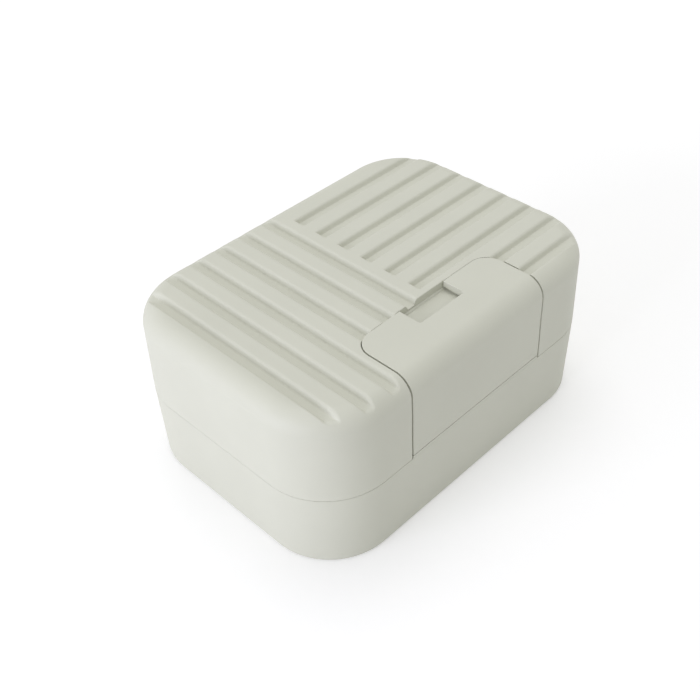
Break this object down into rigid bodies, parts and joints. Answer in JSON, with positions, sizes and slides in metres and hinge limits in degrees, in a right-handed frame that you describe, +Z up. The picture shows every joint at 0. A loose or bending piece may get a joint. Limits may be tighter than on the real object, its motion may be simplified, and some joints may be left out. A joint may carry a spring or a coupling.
{
  "type": "travel soap box",
  "caption": "Rounded soap box with a grooved hinged lid, a wide fold-over latch, a sealing ring and a lift-out drain tray inside.",
  "frame": {"origin": "middle of the underside of the closed box", "axes": "+X along the box to the right seen from the latch, +Y from the latch to the hinge, +Z up"},
  "size_m": [0.11, 0.0784, 0.0492],
  "materials": {
    "shell": "fine matte texture, pale sage grey",
    "tray": "fine matte texture, a shade lighter than the shell",
    "seal": "smooth translucent white silicone",
    "pins": "drawn stainless steel wire"
  },
  "bodies": {
    "base": {"base": "shell", "hinge_pin_left": "pins", "hinge_pin_right": "pins"},
    "lid": {"lid": "shell", "lid_seal": "seal", "latch_pin": "pins"},
    "latch": {"latch": "shell"},
    "tray": {"drain_tray": "tray"}
  },
  "joints": [
    {"name": "lid_hinge", "type": "hinge", "parent": "base", "child": "lid", "pos_m": [0, 0.0372, 0.0261], "axis": [-1, 0, 0], "range_deg": [0, 100]},
    {"name": "latch_hinge", "type": "hinge", "parent": "lid", "child": "latch", "pos_m": [0, -0.0373, 0.02655], "axis": [1, 0, 0], "range_deg": [0, 90]},
    {"name": "tray_lift", "type": "slide", "parent": "base", "child": "tray", "axis": [0, 0, 1], "range_m": [0, 0.025]}
  ]
}
